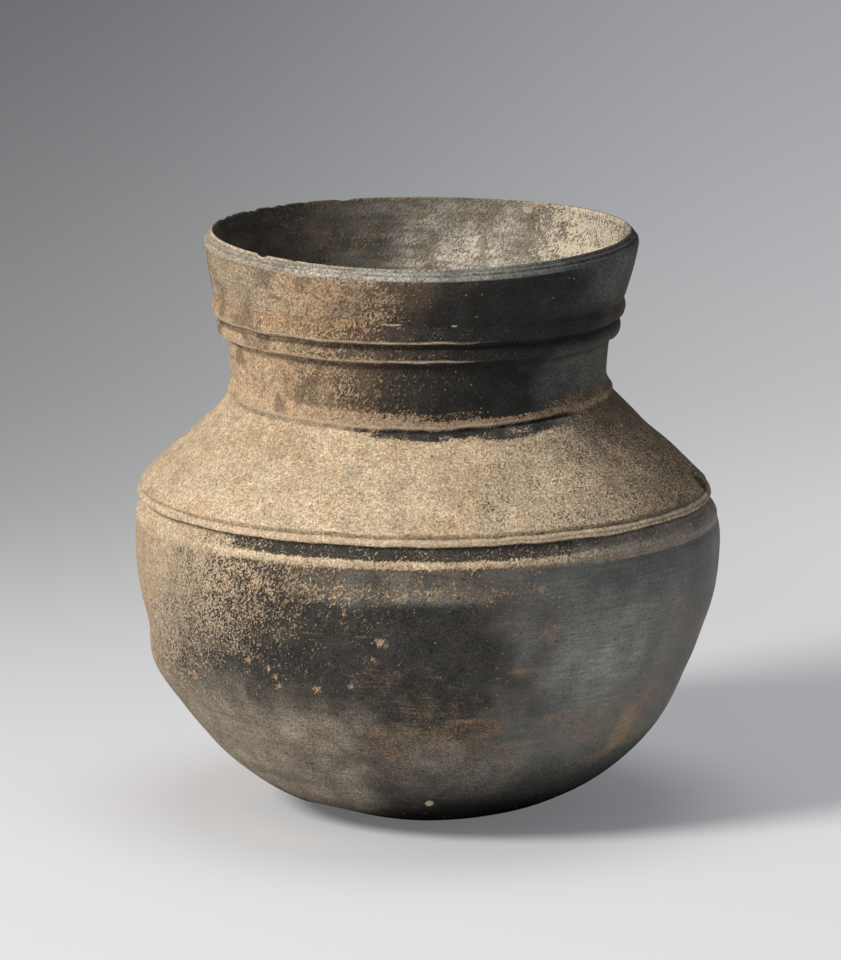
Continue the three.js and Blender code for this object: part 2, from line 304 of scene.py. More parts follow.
# The skin of the whole jar, from the middle of the foot up the outside, over the lip and down the inside.
# Each run has its section, its line and the spacing of its rows.
SKIN_RUNS = [
    ("base_pad", [point(0, 0), point(FOOT_RADIUS, 0)], 4.0),
    ("base_pad", stretch(bowl_outside, 0, PAD_SEAM_HEIGHT), 0.8),
    ("lower_body", stretch(bowl_outside, PAD_SEAM_HEIGHT, COIL_SEAM), 0.8),
    ("upper_body", stretch(bowl_outside, COIL_SEAM, BOWL_HEIGHT), 0.7),
    ("upper_body", turn_line, 0.6),
    ("shoulder_cordon", band_line, 0.35),
    ("shoulder", shoulder_line[: near_root + 1], 0.7),
    ("shoulder", shoulder_line[near_root:], 0.3),
    ("neck_wall", [shoulder_top, *neck_line], 0.45),
    ("neck_cordon_lower", lower_bead, 0.35),
    ("neck_cordon_upper", upper_bead, 0.35),
    ("mouth_wall", mouth_line, 0.55),
    ("lip", lip_line, 0.3),
    ("mouth_wall", through(mouth_top_inside, mouth_middle_inside, neck_top_inside), 0.7),
    ("neck_wall", through(neck_top_inside, waist_inside, luting_top), 1.2),
    ("neck_luting_coil", through(luting_top, luting_bulge, luting_foot), 1.2),
    ("shoulder", [luting_foot, shoulder_foot, turn_inside], 3.0),
    ("upper_body", [turn_inside, *stretch(bowl_inside, coil_seam_inside, BOWL_HEIGHT)[::-1]], 3.0),
    ("lower_body", stretch(bowl_inside, pad_seam_inside, coil_seam_inside)[::-1], 3.0),
    ("base_pad", stretch(bowl_inside, FLOOR_THICKNESS, pad_seam_inside)[::-1], 3.0),
]

# The hidden lines through the clay that close each section after each of its stretches of skin
JOINTS = {
    "base_pad": [[], []],
    "lower_body": [[], []],
    "upper_body": [[band_heel, band_back], []],
    "shoulder_cordon": [[band_shelf, band_back, band_heel]],
    "shoulder": [[root_inside], [band_back, band_shelf]],
    "neck_luting_coil": [[root_inside]],
    "neck_wall": [[upper_seat], [root_inside]],
    "neck_cordon_lower": [[upper_seat]],
    "neck_cordon_upper": [[mouth_seat, upper_seat]],
    "mouth_wall": [[], [upper_seat, mouth_seat]],
    "lip": [[]],
}


def by_hand(p):
    """Moves points from the true turned form to where the hand left it, as the clay model does."""
    flat_radius = np.hypot(p[:, 0], p[:, 1])
    radius = np.maximum(flat_radius, 1e-6)
    turn = np.arctan2(p[:, 0], -p[:, 1])
    z = p[:, 2]
    clear_of_foot = rise(z, 0, FOOT_BLEND)
    front = (1 + np.cos(turn)) / 2
    left, right = hump(turn, -math.pi / 2, SIDE_REACH), hump(turn, math.pi / 2, SIDE_REACH)
    facet = hump(z, FACET_HEIGHT, FACET_REACH) - 0.6 * hump(z, FACET_HEIGHT + FACET_REACH, FACET_REACH)
    out = (
        FACET_DEPTH * left * facet
        - FLANK_PRESS_DEPTH * right * hump(z, FLANK_PRESS_HEIGHT, FACET_REACH)
        + WOBBLE * clear_of_foot * (np.sin(2 * turn + 1) + 0.6 * np.sin(3 * turn + 2))
    )
    lean = (
        BOWL_LEAN * clear_of_foot * fall(z, BOWL_HEIGHT, BAND_TOP)
        + FLANK_LEAN * hump(z, FLANK_LEAN_HEIGHT, FLANK_LEAN_REACH)
        + SHOULDER_LEAN * rise(z, BAND_FOOT, BAND_TOP + NECK_LEAN_REACH)
        + NECK_LEAN * rise(z, ROOT - NECK_LEAN_REACH, ROOT + NECK_LEAN_REACH)
        + MOUTH_LEAN * rise(z, UPPER_CORDON_FOOT, LIP_SEAM)
    )
    at_lift = hump(turn, FOOT_LIFT_TURN, FOOT_LIFT_REACH)
    lift = (
        FOOT_LIFT * at_lift * hump(z, FOOT_LIFT_HEIGHT, FOOT_LIFT_HEIGHT)
        + (ROOT_TILT * np.sin(turn) - ROOT_DIP * front ** 8) * hump(z, ROOT, ROOT_DIP_REACH)
        - RIM_DIP * front ** 3 * rise(z, MOUTH_FOOT, RIM)
    )
    off_axis = flat_radius > 1e-6
    moved = p.copy()
    moved[:, 0] += np.where(off_axis, p[:, 0] / radius * out + lean, 0)
    moved[:, 1] += np.where(off_axis, p[:, 1] / radius * out, 0)
    moved[:, 2] += np.where(off_axis, lift, 0)
    return moved


steps = np.arange(ROUND_STEPS) / ROUND_STEPS * 2 * math.pi
turns = steps - FRONT_BIAS * np.sin(steps)


def turned(rows):
    """The points of a profile's rows, turned round the axis: step by step, row by row."""
    radius, height = np.tile(rows[:, 0], ROUND_STEPS), np.tile(rows[:, 1], ROUND_STEPS)
    turn = np.repeat(turns, len(rows))
    return np.column_stack([radius * np.sin(turn), -radius * np.cos(turn), height])


def grid_normals(p, count):
    """Outward normals of a grid of points, from its neighbours along and round."""
    grid = p.reshape(ROUND_STEPS, count, 3)
    along = np.gradient(grid, axis=1)
    around = np.roll(grid, -1, axis=0) - np.roll(grid, 1, axis=0)
    normals = np.cross(around, along)
    length = np.linalg.norm(normals, axis=2, keepdims=True)
    normals = np.where(length > 1e-12, normals / np.maximum(length, 1e-12), 0)
    return normals.reshape(-1, 3)


# All rows of the skin in one list, and the stretches of it that belong to each section
skin_rows = [SKIN_RUNS[0][1][0][None, :]]
section_stretches = {}
row_total = 1
previous = None
for name, line, spacing in SKIN_RUNS:
    rows = resample(line, spacing * FINENESS)[1:]
    skin_rows.append(rows)
    if name == previous:
        section_stretches[name][-1][1] += len(rows)
    else:
        section_stretches.setdefault(name, []).append([row_total - 1, row_total - 1 + len(rows)])
    row_total += len(rows)
    previous = name
skin_rows = np.concatenate(skin_rows)
skin_rows[-1, 0] = 0
rim_row = int(np.argmax(skin_rows[:, 1]))

# The skin's points, with the azimuth and height of each, and 1 where it lies outside
skin = turned(skin_rows)
azimuth = (np.degrees(np.repeat(turns, row_total)) + 180) % 360 - 180
height = np.tile(skin_rows[:, 1], ROUND_STEPS)
outer = np.tile((np.arange(row_total) <= rim_row).astype(float), ROUND_STEPS)

# Seeded noise over the skin, mixed from one large number for each axis and one for the seed
HASH_X, HASH_Y, HASH_Z, HASH_SEED = 374761393, 668265263, 2147483647, 1274126177


def hash01(ix, iy, iz, seed):
    h = (ix * HASH_X + iy * HASH_Y + iz * HASH_Z + seed * HASH_SEED) & 0xFFFFFFFF
    h = ((h ^ (h >> 13)) * HASH_SEED) & 0xFFFFFFFF
    return ((h ^ (h >> 16)) & 0xFFFF) / 0xFFFF


def noise(scale, seed, along=1):
    """Smooth noise from 0 to 1, with features about `scale` millimetres wide and `along` times as long."""
    q = skin * np.array([1 / along, 1 / along, 1]) / scale
    cell = np.floor(q).astype(np.int64)
    f = q - cell
    f = f * f * f * (f * (6 * f - 15) + 10)
    total = np.zeros(len(skin))
    for corner in itertools.product((0, 1), repeat=3):
        weights = np.where(corner, f, 1 - f)
        total += weights.prod(axis=1) * hash01(*(cell + corner).T, seed)
    return total


def clouds(scale, seed, along=1):
    """Noise of three sizes together, from 0 to 1."""
    sizes = enumerate(((0.55, 1), (0.3, 2.1), (0.15, 4.3)))
    return sum(share * noise(scale / finer, seed + i, along) for i, (share, finer) in sizes)


def streaks(scale, seed, along=9):
    """Clouds drawn out along the direction of turning."""
    return clouds(scale, seed, along)


def across_from(at):
    """How far round the jar each point is from an azimuth, in millimetres."""
    return np.radians((azimuth - at + 180) % 360 - 180) * np.hypot(skin[:, 0], skin[:, 1])


def spot(at, level, half_width, half_height):
    """1 at a place given by azimuth and height, falling to 0 at an ellipse in millimetres."""
    return np.clip(1 - np.hypot(across_from(at) / half_width, (height - level) / half_height), 0, 1)


def line_at(level, width, wander=0.0, seed=50):
    """1 along a line round the jar at a height, falling towards 0 beyond its width in millimetres."""
    return np.exp(-(((height - level - wander * (noise(9, seed) - 0.5)) / width) ** 2))


# Chips of the rim: azimuth, half width and depth
RIM_CHIPS = [(-48, 2.6, 0.8), (-36, 1.2, 0.3), (-158, 3.0, 0.5), (96, 2.2, 0.4), (118, 1.6, 0.3)]

# Fine turning lines on the right of the neck and mouth: height and seed
FINE_LINES = [(170.5, 42), (173.2, 43), (166.8, 44), (146.2, 45), (144.8, 46)]

# Pale scratches and a pale grain: azimuth, height, half width and half height
PALE_SPOTS = [
    (-7.5, MOUTH_FOOT + 0.9, 4.2, 0.45),
    (9.5, MOUTH_FOOT + 0.6, 1.1, 0.4),
    (0.6, 13.2, 1.6, 1.6),
]

# Clusters of crust and single grains on the dark belly, in the same terms
CLUSTERS = [
    (-37.8, 61.1, 1.8, 2.4),
    (-32.9, 59.1, 1.5, 1.8),
    (-31.5, 56.8, 1.7, 2.0),
    (-30.7, 54.0, 1.6, 1.8),
    (-55.6, 51.7, 1.8, 3.2),
    (-22.1, 54.0, 2.6, 2.6),
    (-14.8, 55.8, 1.7, 1.7),
    (-9.0, 70.5, 4.2, 3.0),
    (-10.5, 65.3, 1.4, 1.8),
]

# Rusty smears low on the right of the belly, in the same terms
RUST_PATCHES = [
    (9, 44.5, 17, 1.6),
    (19, 60.5, 11, 3.4),
    (24.5, 72.5, 6, 7.0),
    (33, 43.5, 19, 4.6),
    (23, 35.5, 12, 2.4),
    (62, 45.0, 6, 8.0),
    (49, 33.0, 9, 3.0),
]


def place_layers(*layers):
    """Blends values that each hold up to their own height into one, with narrow soft edges."""
    total, level = 0.0, -1.0
    for ceiling, layer in layers:
        total = total + layer * between(height, level + 0.4, ceiling - 0.4, 0.8)
        level = ceiling
    return total


def closed_round(layer):
    """A layer's values, led over smoothly where its angles end: at the back outside, in front inside."""
    inside_turn = azimuth % 360
    here, a_turn_before = layer(*(np.stack([turn, turn - 360]) for turn in (azimuth, inside_turn)))
    share = np.where(outer > 0, rise(azimuth, 118, 178), rise(inside_turn, 300, 358))
    share = share.reshape(-1, *[1] * (here.ndim - 1))
    return here * (1 - share) + a_turn_before * share


clusters = np.zeros(len(skin))
for place in CLUSTERS:
    clusters = np.maximum(clusters, np.minimum(1, 1.3 * spot(*place)))

# The wavy lower edge of the band of crust in front
wavy = 1.2 * (noise(9, 52) - 0.5)
front_band_edge = rise(height + wavy, 80.5, 84.5)


def crust_cover(azimuth, inside_turn):
    """How thickly sandy crust covers the clay, from 0 to 1."""
    drift = 24 * (clouds(18, 3) - 0.5) + 14 * (clouds(5, 7) - 0.5)
    az, z = azimuth + drift, height + 0.12 * drift
    edge = np.interp(z, [20, 36, 46, 54, 62, 73, 82, 92], [-112, -90, -68, -56, -47, -40, -33, -27])
    past = az - edge
    body = np.interp(past, [-40, -22, -10, 0, 8, 16, 32, 60], [0.86, 0.7, 0.58, 0.5, 0.41, 0.32, 0.2, 0])
    body = np.maximum(body, 0.29 * fall(az, -30, 22) * rise(z, 42, 60))
    front_band = front_band_edge * (1 - 0.3 * rise(height, 86, 90))
    body = np.maximum(body, np.interp(az, [-52, -34, -4, 14, 30], [0, 0.54, 0.5, 0.4, 0]) * front_band)
    body += 0.12 * between(azimuth, -23, -8, 4) * hump(height + wavy, 82.2, 1.4)
    body = np.maximum(body, 0.75 * clusters)
    ridge = np.interp(az, [-60, 0, 20, 45, 80], [0.95, 0.85, 0.7, 0.42, 0.25])
    groove = np.interp(az, [-66, -44, -28], [0.9, 0.66, 0.32])
    crest = np.interp(az, [0, 40, 68, 88], [0.93, 0.82, 0.66, 0.34])
    shoulder = np.interp(az, [-30, 0, 12, 40, 60, 85, 110], [0.95, 0.95, 0.8, 0.7, 0.57, 0.45, 0.3])
    shoulder -= 0.16 * spot(15, 109, 4, 7)
    # Less crust near the root on the back right, baring brown clay: painted shadow of the neck
    shoulder -= 0.2 * rise(azimuth, 40, 70) * rise(height, ROOT - 12, ROOT - 2)
    neck = np.interp(az, [-90, -62, -40, -18, 2, 24], [0.86, 0.8, 0.74, 0.46, 0.23, 0.08])
    root_az = azimuth + 0.3 * drift
    collar = np.interp(root_az, [-90, -20, 8, 24, 44, 74, 90], [0.9, 0.88, 0.86, 0.7, 0.66, 0.66, 0.3])
    above_collar = np.maximum(neck + 0.34 * fall(az, -4, 28), 0.5 * between(az, 46, 76, 12))
    cordons = np.interp(az, [-60, -40, -20, 0, 20, 60], [0.8, 0.66, 0.5, 0.32, 0.14, 0.1])
    mouth = np.interp(az, [-90, -60, -36, -14, 6, 24], [0.7, 0.62, 0.74, 0.65, 0.12, 0.03])
    lip = np.interp(az, [-80, -40, 0], [0.6, 0.45, 0.15])
    lip += 0.3 * rise(height, RIM - 1.2, RIM - 0.3) * fall(az, -30, 20)
    cover = place_layers(
        (BAND_FOOT, body),
        (BAND_FOOT + 2.5, ridge),
        (BAND_FOOT + 6.1, groove),
        (BAND_TOP, crest),
        (ROOT, shoulder),
        (ROOT + 2.7, collar),
        (ROOT + 4.8, above_collar),
        (LOWER_CORDON_FOOT, neck),
        (MOUTH_FOOT, cordons),
        (LIP_SEAM + 1.2, mouth),
        (RIM + 1, lip),
    )
    cover *= 1 - 0.85 * root_soot_and_painted_shade
    az_in = inside_turn + drift
    inner = 0.16 + 0.16 * between(az_in, 120, 215, 30) + 0.24 * (streaks(3, 97, 5) - 0.5)
    inner += 0.42 * between(az_in, 98, 124, 26) * between(height, 160, 177, 12)
    inner += 0.2 * rise(height, RIM - 2.5, RIM - 0.5) * between(az_in, 90, 190, 20)
    return np.clip(np.where(outer > 0, cover, inner), 0, 1)


PALETTE = {
    "sand": (0.70, 0.545, 0.365),
    "warm_sand": (0.60, 0.425, 0.265),
    "pale_sand": (0.76, 0.65, 0.49),
    "grey_sand": (0.44, 0.36, 0.262),
    "orange": (0.47, 0.275, 0.14),
    "charcoal": (0.017, 0.017, 0.016),
    "dark": (0.045, 0.044, 0.040),
    "brown": (0.120, 0.083, 0.053),
    "rust": (0.24, 0.145, 0.075),
    "tan_brown": (0.28, 0.20, 0.13),
    "brown_sand": (0.33, 0.235, 0.15),
    "soot_black_and_shade": (0.008, 0.008, 0.008),
    "blue_grey": (0.190, 0.188, 0.163),
    "slate": (0.106, 0.108, 0.096),
    "olive": (0.265, 0.222, 0.168),
    "pale_grey": (0.44, 0.415, 0.36),
    "warm_grey": (0.23, 0.205, 0.17),
    "lip_green": (0.165, 0.17, 0.147),
    "inside_green": (0.096, 0.096, 0.081),
}


class Coat:
    """A colour at every point of the skin, laid on coat by coat."""

    def __init__(self, name):
        self.colour = np.array(PALETTE[name])

    def lay(self, name, share):
        share = np.clip(share, 0, 1)[..., None]
        self.colour = self.colour * (1 - share) + np.array(PALETTE[name]) * share


def crust_colour(az, inside_turn):
    """The colour of the crust by place."""
    drift = clouds(14, 21) - 0.5
    coat = Coat("sand")
    lay = coat.lay
    neck = rise(height, ROOT - 1, ROOT + 2)
    lay("warm_sand", 0.9 * neck)
    lay("brown_sand", 0.85 * neck * rise(az, -62, 0))
    mouth = rise(height, MOUTH_FOOT, MOUTH_FOOT + 5)
    lay("grey_sand", 0.8 * mouth * fall(az, -60, -20) * (0.8 + 1.2 * drift))
    cordons = between(height, LOWER_CORDON_FOOT, MOUTH_FOOT, 1)
    lay("warm_sand", 0.6 * cordons * fall(az, -10, 20))
    top_edge = between(height, UPPER_CORDON_FOOT + 4, MOUTH_FOOT + 1.5, 1.5)
    lay("orange", 0.4 * top_edge * fall(az, -20, 4))
    body = fall(height, BAND_FOOT - 3, BAND_FOOT + 2)
    lay("warm_sand", 0.8 * body)
    lay("grey_sand", body * (0.45 + 0.3 * fall(height, 66, 90) + 1.5 * drift))
    lay("warm_sand", 0.45 * body * fall(az, -84, -56))
    lay("orange", np.maximum(0.8 * clusters, 0.3 * body * rise(az, -50, -20)))
    lay("orange", 0.6 * rise(az, 20, 50) * body)
    lay("orange", 0.3 * rise(drift, 0.08, 0.2))
    inside = 1 - outer
    lay("pale_sand", 0.95 * inside)
    lay("tan_brown", inside * 0.8 * rise(inside_turn, 132, 170))
    lay("rust", 0.6 * inside * rise(inside_turn, 180, 215))
    streaky = streaks(2.4, 25, 7) - 0.5
    mottle = clouds(7, 27) - 0.5
    slope = between(height, BAND_TOP, ROOT, 1) * outer
    lay("grey_sand", 0.4 * slope * rise(mottle + 0.3 * streaky, 0, 0.3))
    lay("warm_sand", 0.6 * slope * rise(-0.4 * streaky - mottle, 0.02, 0.25))
    # Browner crust towards the right of the shoulder: brown crust and painted shade
    lay("brown_sand", 0.6 * slope * rise(az, 28, 62))
    sides = rise(height, ROOT, ROOT + 3) * outer
    on_lip = rise(height, LIP_SEAM, LIP_SEAM + 1.5)
    lay("tan_brown", 0.85 * sides * (1 - 0.8 * on_lip) * rise(mottle + 0.5 * streaky, -0.02, 0.18))
    lay("pale_sand", 0.6 * on_lip * outer)
    lay("grey_sand", 0.5 * body * rise(mottle, 0, 0.2) + 0.1 * body)
    front_of_belly = body * between(az, -24, 30, 10) * rise(height, 76, 80)
    thin = fall(crust, 0.15, 0.72)
    lay("tan_brown", thin * np.maximum(0.1 * front_of_belly, 0.45 * sides))
    return coat.colour


def under_colour(azimuth, inside_turn):
    """The colour of the fired clay under the crust, laid on by place."""
    patch = clouds(20, 71) - 0.5
    fine = clouds(7, 77) - 0.5
    streaky = streaks(5, 81) - 0.5
    az, z = azimuth + 34 * patch + 12 * fine, height + 10 * patch + 4 * fine
    coat = Coat("dark")
    lay = coat.lay
    lay("brown", 0.3 * rise(patch + streaky, -0.1, 0.3))
    lay("olive", fall(az, -35, -6) * fall(z, 40, 58) * (1.0 + 1.2 * streaky))
    flat_az = azimuth + 14 * patch + 10 * fine
    lay("slate", 0.75 * rise(flat_az, 12, 34))
    # Blue-grey clay on the right of the belly, made paler still as a painted sheen
    blue_grey_and_painted_sheen = hump(flat_az, 38, 27) * hump(z, 64, 27)
    lay("blue_grey", 0.95 * blue_grey_and_painted_sheen * (1 + 1.1 * streaky))
    lay("dark", 0.6 * spot(39, 86, 7, 5) + 0.4 * spot(50, 88, 12, 6))
    lay("warm_grey", 0.55 * hump(az, 6, 24) * between(z, 14, 34, 10))
    # Darker round the far right of the belly: painted shade where the light falls off
    lay("dark", 0.6 * rise(az, 52, 74))
    lay("brown", 0.7 * rise(az, 70, 92) * between(z, 30, 70, 14))
    lay("charcoal", 0.5 * between(az, -38, 10, 14) * between(z, 48, 82, 12))
    front_band = front_band_edge * between(az, -18, 8, 16) * fall(height, 92, 94) * outer
    lay("warm_grey", 0.6 * front_band * (0.7 + 1.6 * fine))
    # Soot low on the front and the right and all round the foot, blackened further as painted shade on the
    # underside
    lay("soot_black_and_shade", 0.95 * rise(az, -24, 8) * fall(height, 9, 30))
    lay("soot_black_and_shade", 0.35 * rise(az, 10, 40) * fall(height, 14, 34))
    lay("soot_black_and_shade", 0.95 * fall(height, 3, 16))
    # A brown line along the lowest edge of the foot: painted reflected light, laid in the rust colour
    lay("rust", 0.6 * line_at(0.8, 0.7, 1.0, 88) * between(azimuth, -60, 20, 12))
    neck = rise(height, ROOT - 1, ROOT + 1)
    lay("brown", neck)
    lay("tan_brown", 0.9 * neck * fall(az, -50, -8))
    lay("grey_sand", 0.5 * neck * fall(az, -60, -24))
    lay("charcoal", neck * rise(az, -23, 13) * (1 - 0.35 * rise(az, 44, 78)))
    lay("slate", 0.6 * neck * between(az, 44, 88, 14) * fall(height, 148, 156))
    lay("slate", 0.65 * neck * rise(az, 30, 56) * rise(height, MOUTH_FOOT, MOUTH_FOOT + 6))
    shoulder = between(height, BAND_TOP, ROOT - 0.5, 0.8)
    lay("warm_grey", 0.8 * shoulder * fall(az, -10, 14))
    lay("warm_grey", 0.12 * shoulder * rise(az, -4, 14))
    lay("pale_grey", 0.8 * spot(23, 109, 6, 4))
    # Browner on the back right of the shoulder: painted shade
    lay("brown", 0.8 * shoulder * rise(az, 50, 76))
    lay("charcoal", shoulder * np.clip(2 * spot(83, 104.8, 5, 4), 0, 1))
    band = between(height, BAND_FOOT - 0.6, BAND_TOP, 0.6)
    lay("brown", 0.7 * band * fall(az, 0, 30))
    lay("warm_grey", 0.95 * band * rise(az, 14, 40))
    # Darker in the groove under the crest: dark clay and painted shade
    in_groove = between(height, BAND_FOOT + 3, BAND_FOOT + 5.6, 0.5)
    lay("dark", 0.8 * band * in_groove * (1 - 0.75 * rise(az, 14, 44)))
    root_end = hump(azimuth, 62, 26) * between(height, ROOT - 5, ROOT + 4, 2)
    lay("rust", 0.8 * root_end * rise(streaks(2.2, 87), 0.42, 0.62))
    band_edge = between(azimuth, 20, 78, 8) * hump(height, BAND_FOOT + 0.3, 1.5)
    lay("rust", 0.8 * band_edge * rise(fine, -0.15, 0.1))
    # Charcoal in the dark band under the neck's root: soot and painted shade
    lay("charcoal", 0.8 * root_soot_and_painted_shade)
    lip = rise(height, LIP_SEAM + 0.8, LIP_SEAM + 1.8) * outer
    lay("pale_grey", 0.8 * lip * fall(az, -2, 40))
    lay("lip_green", 0.9 * lip * rise(az, -20, 20) * (1 - 0.5 * rise(az, 50, 90)))
    lay("charcoal", 0.55 * lip * rise(az, 16, 44))
    return coat.colour


def rust_cover():
    """How much rust stains the lower right of the belly, from 0 to 1."""
    patch = clouds(12, 83) - 0.5
    low = between(azimuth, -6, 50, 18) * between(height, 27, 41, 10)
    right_edge = between(azimuth, 60, 90, 14) * between(height, 30, 74, 8)
    cover = 0.42 * low * (1 + 2.2 * patch) + 0.36 * right_edge * (1 + 2 * patch)
    middle = between(azimuth, -10, 12, 14) * between(height, 48, 62, 10)
    cover = np.maximum(cover, 0.3 * middle * (1 + 2 * patch))
    for place in RUST_PATCHES:
        cover = np.maximum(cover, 0.66 * np.clip(1.2 * spot(*place), 0, 1) * (1 + 2 * patch))
    return np.clip(cover * outer, 0, 1)


def inside_colour(azimuth, inside_turn):
    """The colour of the clay inside the neck and mouth, with a painted sheen on the back wall and painted
    shade on the inner left wall.
    """
    streaky = streaks(2.2, 95, 7) - 0.5
    az = inside_turn + 34 * (streaks(5, 91, 5) - 0.5)
    coat = Coat("dark")
    lay = coat.lay
    # Dark clay on the inner left wall, darkened further as painted shade
    lay("brown", 0.3 * rise(az, 196, 235))
    lay("charcoal", 0.4 * rise(az, 196, 235))
    lay("inside_green", fall(az, 176, 226))
    lay("warm_grey", 0.85 * between(az, 104, 178, 22))
    # A painted sheen on the back wall inside, laid on as pale colour
    painted_light = hump(az, 163, 34) * hump(height, 165, 20)
    lay("pale_grey", 1.1 * painted_light)
    lay("pale_sand", 0.45 * painted_light)
    lay("charcoal", 0.6 * rise(streaky, 0.02, 0.2) * (1 - 0.7 * hump(az, 160, 44)))
    lay("pale_grey", 0.25 * rise(-streaky, 0.05, 0.25) * between(az, 100, 190, 20))
    lay("brown", 0.5 * rise(clouds(4, 99), 0.5, 0.65))
    lay("dark", 0.8 * fall(height, 120, 150))
    return coat.colour


def wiped_smooth():
    """Where the clay was rubbed smooth and shines a little, from 0 to 1."""
    patch = clouds(20, 101) - 0.5
    az = azimuth + 30 * patch
    inside = 0.6 * rise(height, ROOT, ROOT + 10) * (1 - outer)
    return between(az, 24, 84, 16) * between(height, 34, 90, 10) * outer + inside


def gloss():
    """How strongly the surface mirrors light: least low on the sooted and shaded foot, most where it was
    rubbed.
    """
    return (0.2 + 0.3 * smooth_places) * (1 - fall(height, 8, 26) * outer)


def relief():
    """Unevenness, grit, cracks and chips of the skin, in millimetres, never proud of the turned form."""
    grit = rise(crust, 0.2, 0.8) * (0.3 + 0.7 * outer)
    depth = 0.24 * (noise(24, 1) - 1) + 0.12 * (noise(8, 2) - 1)
    depth += (0.05 + 0.13 * grit) * (noise(2.6, 3) - 1)
    depth += (0.03 + 0.17 * grit) * (noise(1.25, 4) - 1)
    depth *= rise(height, 0.2, 3) * (1 - 0.6 * rise(height, RIM - 3, RIM))
    return depth - 0.7 * np.clip(1.6 * spot(-42, 4.5, 14, 3.4), 0, 1) * outer


def coil_crack(az):
    """1 along the crack in front where the coil seam shows."""
    return line_at(COIL_SEAM - 0.2, 0.3, 1.2, 47) * between(az, -27, -8, 4)


def lines_cracks_and_shadows(az, inside_turn):
    """Depth in millimetres and darkness from 0 to 1 of the pressed lines, cracks and scratches, and of
    painted shadows under the cordons and along the crest.
    """
    ragged = noise(3.5, 40)
    root_crack = line_at(ROOT - 0.1, 0.34) * between(az, -66, 46, 10)
    root_crack *= 0.45 + 0.55 * rise(az, -30, -16)
    root_crack *= 0.55 + 0.45 * rise(ragged, 0.2, 0.5)
    pressed = line_at(BAND_TOP - 0.5, 0.46, 0.2) * (0.25 + 0.75 * rise(az, -62, -30))
    pressed *= 0.85 + 0.15 * rise(ragged, 0.25, 0.5)
    # A shallow line on the crest at the right and another under the crest, both darkened further as painted
    # shadows
    crest_line_and_shadow = line_at(BAND_TOP - 2.3, 0.4) * between(az, 18, 84, 14)
    under_crest_line_and_shadow = line_at(BAND_FOOT + 0.575 * BAND_HEIGHT, 0.5) * rise(az, -88, -62)
    lip_lines = line_at(LIP_SEAM + 0.2, 0.3, 1.6, 41) * between(az, -80, -20, 10)
    lip_lines += line_at(LIP_SEAM + 0.6 * LIP_HEIGHT, 0.22) + line_at(LIP_SEAM + 0.83 * LIP_HEIGHT, 0.2)
    # Painted shadows under the two cordons
    cordon_shadows = 0.7 * line_at(LOWER_CORDON_FOOT - 0.9, 0.9) + line_at(UPPER_CORDON_FOOT - 0.5, 0.6)
    cordon_shadows = cordon_shadows * (0.75 + 0.25 * rise(az, -60, -20))
    notch = np.clip(2 * spot(83, 104.8, 4, 3.6), 0, 1)
    fine_lines = np.zeros(az.shape)
    for level, seed in FINE_LINES:
        broken = rise(noise(14, seed), 0.3, 0.5)
        fine_lines += line_at(level, 0.22, 0.6, seed) * rise(az, 20, 45) * broken
    outside = (height > 60) & (outer > 0)
    depth = -0.9 * root_crack - 0.4 * pressed - 0.3 * (crest_line_and_shadow + under_crest_line_and_shadow) - 0.2 * lip_lines
    depth -= 0.1 * fine_lines + 0.25 * coil_crack(az) + 0.6 * notch
    dark = root_crack + 1.05 * pressed + 0.8 * under_crest_line_and_shadow + 0.5 * crest_line_and_shadow + 0.2 * fine_lines
    dark += (0.28 + 0.3 * rise(az, 0, 40)) * lip_lines + 0.95 * cordon_shadows + 0.7 * notch
    return np.stack([depth, np.clip(dark, 0, 1)], axis=-1) * outside[:, None]


def pale_marks_and_highlights(az, inside_turn):
    """Worn edges, bright cracks and pale grains, from 0 to 1, with painted highlights along the cordons and
    the crest.
    """
    wear_and_highlights = np.zeros(az.shape)
    # Worn edges along the cordons, made brighter as painted highlights
    for foot, tall in ((LOWER_CORDON_FOOT, LOWER_CORDON_HEIGHT), (UPPER_CORDON_FOOT, UPPER_CORDON_HEIGHT)):
        along = (0.85 + 0.15 * rise(az, -50, -20)) * (1 - 0.85 * rise(az, 2, 26))
        wear_and_highlights += line_at(foot + 0.2 * tall, 0.6) * along * (0.6 + 0.6 * noise(5, 53))
    # A painted highlight along the crest
    wear_and_highlights += 0.6 * line_at(BAND_TOP - 1.9, 0.8) * between(az, -34, 78, 16)
    for place in PALE_SPOTS:
        wear_and_highlights += 2.5 * spot(*place)
    wear_and_highlights += 0.4 * coil_crack(az)
    wear_and_highlights += 0.9 * line_at(ROOT + 0.8, 0.5, 0.5, 49) * between(az, -60, 30, 14)
    wear_and_highlights += 0.45 * line_at(ROOT - 4.4, 0.5, 0.8, 48) * between(az, -80, -14, 10)
    stone = 3 * spot(148, 181.2, 2.3, 2.2) * (1 - outer)
    return np.clip(wear_and_highlights * outer + stone, 0, 1)


def rim_chips():
    """How far the rim is broken down, in millimetres."""
    near_rim = rise(height, RIM - 2.0, RIM - 0.2)
    chips = 0.5 * between(azimuth, -146, -108, 8) * rise(noise(2.4, 60), 0.35, 0.75)
    for at, wide, deep in RIM_CHIPS:
        chips = chips + deep * np.clip(1 - (across_from(at) / wide) ** 2, 0, 1)
    return chips * near_rim


# Soot and painted shade in the dark band under the line of the neck's root, in front
root_dark_band_edge = ROOT - 2.4 - 3.4 * (streaks(1.5, 31, 9) - 0.45)
root_soot_and_painted_shade = between(azimuth, -6, 34, 22) * rise(height, root_dark_band_edge - 1.2, root_dark_band_edge + 0.8)
root_soot_and_painted_shade *= fall(height, ROOT - 0.2, ROOT + 0.2) * outer
root_soot_and_painted_shade *= 0.55 + 0.45 * rise(noise(2.2, 32), 0.2, 0.6)

